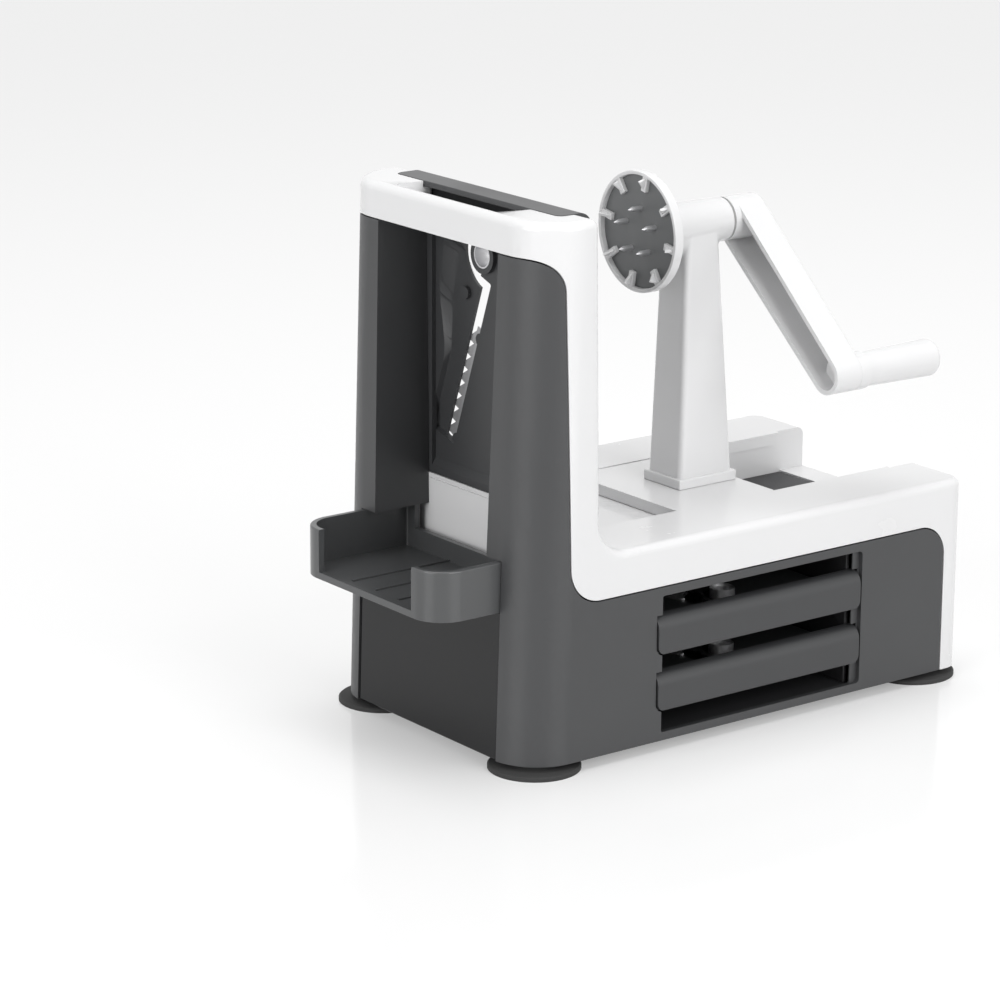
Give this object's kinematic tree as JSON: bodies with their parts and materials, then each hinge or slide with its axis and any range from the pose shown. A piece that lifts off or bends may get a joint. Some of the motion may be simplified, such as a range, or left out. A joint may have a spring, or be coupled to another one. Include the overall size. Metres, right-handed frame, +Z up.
{
  "type": "spiralizer with crank",
  "caption": "Hand cranked spiralizer: portal frame with lift-out blade cartridges, sliding carriage with crank and toothed food holder, catch tray and in-base blade storage on suction feet.",
  "frame": {"origin": "on the table, at the middle of the bounding box in length and width", "axes": "+X from the exit face and catch tray towards the crank handle, +Y towards the far side with the crank arm on the near side, +Z up"},
  "size_m": [0.307, 0.1622, 0.2553],
  "materials": {
    "white_plastic": "glossy moulded",
    "grey_plastic": "fine satin",
    "dark_gloss_plastic": "high gloss",
    "dark_plastic": "moulded, out of sight",
    "tray_plastic": "semi-gloss, translucent grey look",
    "cartridge_plastic": "satin",
    "blade_steel": "ground and polished",
    "screw_steel": "plain",
    "bushing_plastic": "natural acetal",
    "foot_rubber": "matte black",
    "holder_plastic": "satin grey"
  },
  "bodies": {
    "base": {"frame_shell": "white_plastic", "near_side_housing": "grey_plastic", "far_side_housing": "grey_plastic", "front_panel": "dark_gloss_plastic", "base_plate": "dark_plastic", "case_screws": "screw_steel", "storage_rack": "dark_plastic", "exit_near_foot": "foot_rubber", "exit_far_foot": "foot_rubber", "rear_near_foot": "foot_rubber", "rear_far_foot": "foot_rubber", "foot_studs": "screw_steel"},
    "carriage": {"carriage_sled": "white_plastic", "carriage_tower": "white_plastic", "tower_screws": "screw_steel", "front_bushing": "bushing_plastic", "rear_bushing": "bushing_plastic"},
    "crank": {"drive_shaft": "screw_steel", "holder_disc": "holder_plastic", "holder_rim": "white_plastic", "holder_spikes": "blade_steel", "crank_arm": "white_plastic", "crank_screw": "screw_steel", "crank_hub_cap": "white_plastic", "handle_pin": "screw_steel", "handle_screw": "screw_steel", "handle_washer": "screw_steel"},
    "handle": {"handle_grip": "white_plastic", "handle_end_cap": "white_plastic"},
    "fitted_cartridge": {"fitted_cartridge_blade_screws": "screw_steel", "fitted_cartridge_comb_blade": "blade_steel", "fitted_cartridge_corer": "blade_steel", "fitted_cartridge_frame": "cartridge_plastic", "fitted_cartridge_slicing_blade": "blade_steel"},
    "upper_cartridge": {"upper_stored_cartridge_blade_screws": "screw_steel", "upper_stored_cartridge_comb_blade": "blade_steel", "upper_stored_cartridge_corer": "blade_steel", "upper_stored_cartridge_frame": "cartridge_plastic", "upper_stored_cartridge_slicing_blade": "blade_steel"},
    "lower_cartridge": {"lower_stored_cartridge_blade_screws": "screw_steel", "lower_stored_cartridge_corer": "blade_steel", "lower_stored_cartridge_frame": "cartridge_plastic", "lower_stored_cartridge_slicing_blade": "blade_steel"},
    "tray": {"catch_tray": "tray_plastic"}
  },
  "joints": [
    {"name": "carriage_slide", "type": "slide", "parent": "base", "child": "carriage", "axis": [1, 0, 0], "range_m": [-0.07, 0.07]},
    {"name": "crank_turn", "type": "hinge", "parent": "carriage", "child": "crank", "pos_m": [0.0332, 0, 0.2263], "axis": [1, 0, 0], "continuous": true},
    {"name": "handle_spin", "type": "hinge", "parent": "crank", "child": "handle", "pos_m": [0.10445, -0.07182, 0.16276], "axis": [1, 0, 0], "continuous": true},
    {"name": "fitted_cartridge_lift", "type": "slide", "parent": "base", "child": "fitted_cartridge", "axis": [0, 0, 1], "range_m": [0, 0.155]},
    {"name": "upper_cartridge_draw", "type": "slide", "parent": "base", "child": "upper_cartridge", "axis": [0, -1, 0], "range_m": [0, 0.155]},
    {"name": "lower_cartridge_draw", "type": "slide", "parent": "base", "child": "lower_cartridge", "axis": [0, -1, 0], "range_m": [0, 0.155]},
    {"name": "tray_pull", "type": "slide", "parent": "base", "child": "tray", "axis": [-1, 0, 0], "range_m": [0, 0.07]}
  ]
}
